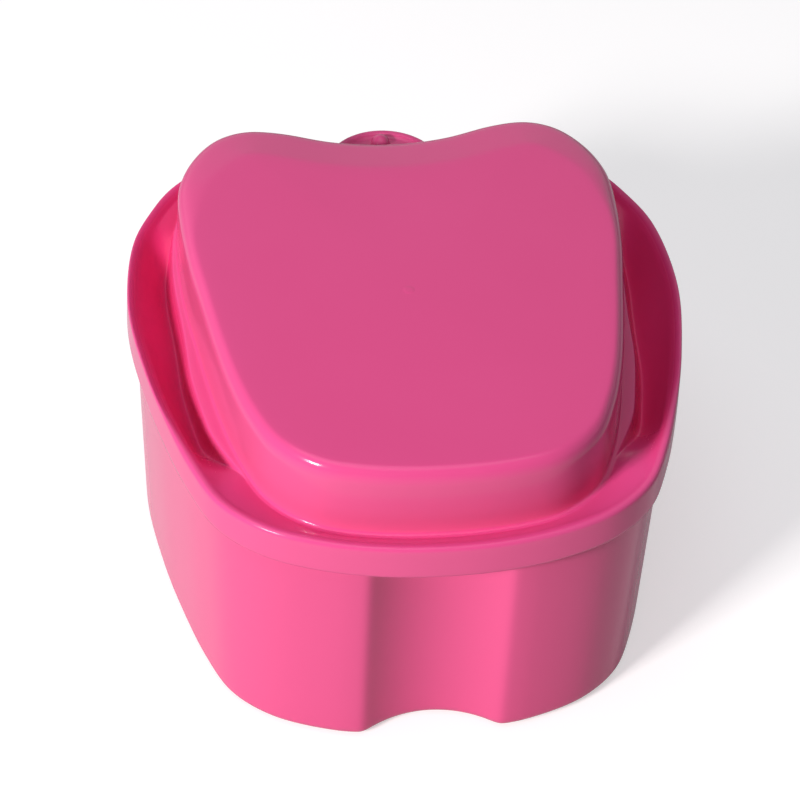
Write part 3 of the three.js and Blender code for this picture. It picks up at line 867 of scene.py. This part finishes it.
def addCamera(form):
    pitch, yaw, roll = (math.radians(form[key]) for key in ("pitch", "yaw", "roll"))
    ahead = Vector((math.sin(yaw) * math.cos(pitch), math.cos(yaw) * math.cos(pitch), -math.sin(pitch)))
    level = Vector((math.cos(yaw), -math.sin(yaw), 0))
    up = level.cross(ahead)
    right = level * math.cos(roll) + up * math.sin(roll)
    top = up * math.cos(roll) - level * math.sin(roll)
    data = bpy.data.cameras.new("photo view")
    data.sensor_width = form["sensor"]
    data.lens = form["focalPixels"] * form["sensor"] / form["framePixels"]
    camera = bpy.data.objects.new("photo view", data)
    bpy.context.scene.collection.objects.link(camera)
    spot = (Vector(form["aim"]) - ahead * form["distance"]) * millimetre
    camera.matrix_world = Matrix.Translation(spot) @ Matrix((right, top, -ahead)).transposed().to_4x4()
    bpy.context.scene.camera = camera


addCamera(cameraForm)

lightForm = {
    "worldFill": 0.06,
    "floorHex": "#cdcdcd",
    "floorLift": 0.52,  # seen by the camera and, in part, in reflections, so that the lit floor is white
    "mirroredShare": 0.25,
    "floorSize": 6,  # metres, as are the lamps' spots and sizes
    "floorRoughness": 0.9,
    "floorShine": 0.1,
    "aim": (0, 0, 0.03),
    "lamps": [
        {
            "name": "key softbox",
            "spot": (-0.796, -0.668, 0.6),
            "size": (0.22, 0.22),
            "power": 14.6,
            "hex": "#fffaf8",
        },
        {
            "name": "key core",
            "spot": (-0.77, -0.7, 0.58),
            "size": (0.05, 0.05),
            "power": 1,
            "hex": "#ffffff",
        },
        {
            "name": "overhead panel",
            "spot": (-0.1, -0.1, 1.4),
            "size": (1.3, 1.1),
            "power": 7.8,
            "hex": "#f8f6ff",
        },
    ],
}


def addLamps(form):
    for lamp in form["lamps"]:
        data = bpy.data.lights.new(lamp["name"], "AREA")
        data.shape = "RECTANGLE"
        data.size, data.size_y = lamp["size"]
        data.energy = lamp["power"]
        data.color = linearFromHex(lamp["hex"])[:3]
        light = bpy.data.objects.new(lamp["name"], data)
        bpy.context.scene.collection.objects.link(light)
        light.location = lamp["spot"]
        light.rotation_euler = (Vector(form["aim"]) - light.location).to_track_quat("-Z", "Y").to_euler()


def addRayKinds(tree):
    # 1 for the camera's own rays, and 1 for those that gloss or glass sends on
    path = addNode(tree, "ShaderNodeLightPath")
    mirrored = addNode(tree, "ShaderNodeMath", {"operation": "MAXIMUM"}, {
        0: path.outputs["Is Glossy Ray"],
        1: path.outputs["Is Transmission Ray"],
    })
    return path.outputs["Is Camera Ray"], mirrored.outputs["Value"]


def addWorld(form):
    # plain white to the camera, to gloss and to glass, and only a faint fill on the object
    world = bpy.data.worlds.new("plain studio")
    bpy.context.scene.world = world
    world.use_nodes = True
    tree = world.node_tree
    tree.nodes.clear()
    direct, mirrored = addRayKinds(tree)
    seen = addNode(tree, "ShaderNodeMath", {"operation": "MAXIMUM"}, {0: direct, 1: mirrored})
    strength = addNode(tree, "ShaderNodeMapRange", {
        "To Min": form["worldFill"],
        "To Max": 1,
    }, {"Value": seen.outputs["Value"]})
    back = addNode(tree, "ShaderNodeBackground", {"Color": (1, 1, 1, 1)}, {"Strength": strength.outputs["Result"]})
    addNode(tree, "ShaderNodeOutputWorld", {}, {"Surface": back.outputs["Background"]})


def addFloor(form):
    mesh = bmesh.new()
    bmesh.ops.create_grid(mesh, x_segments=1, y_segments=1, size=form["floorSize"] / 2)
    data = bpy.data.meshes.new("studio floor")
    mesh.to_mesh(data)
    mesh.free()
    floor = bpy.data.objects.new("studio_floor", data)
    bpy.context.scene.collection.objects.link(floor)
    material = bpy.data.materials.new("matt white studio paper")
    material.use_nodes = True
    tree = material.node_tree
    tree.nodes.clear()
    direct, mirrored = addRayKinds(tree)
    faint = addNode(tree, "ShaderNodeMath", {
        "operation": "MULTIPLY",
        1: form["mirroredShare"],
    }, {0: mirrored})
    seen = addNode(tree, "ShaderNodeMath", {"operation": "MAXIMUM"}, {0: direct, 1: faint.outputs["Value"]})
    lit = addNode(tree, "ShaderNodeMath", {
        "operation": "MULTIPLY",
        1: form["floorLift"],
    }, {0: seen.outputs["Value"]})
    shader = addNode(tree, "ShaderNodeBsdfPrincipled", {
        "Base Color": linearFromHex(form["floorHex"]),
        "Roughness": form["floorRoughness"],
        "Specular IOR Level": form["floorShine"],
        "Emission Color": (1, 1, 1, 1),
    }, {"Emission Strength": lit.outputs["Value"]})
    addNode(tree, "ShaderNodeOutputMaterial", {}, {"Surface": shader.outputs["BSDF"]})
    data.materials.append(material)


addLamps(lightForm)
addWorld(lightForm)
addFloor(lightForm)
bpy.context.scene.view_settings.view_transform = "Standard"
print("studio ready")
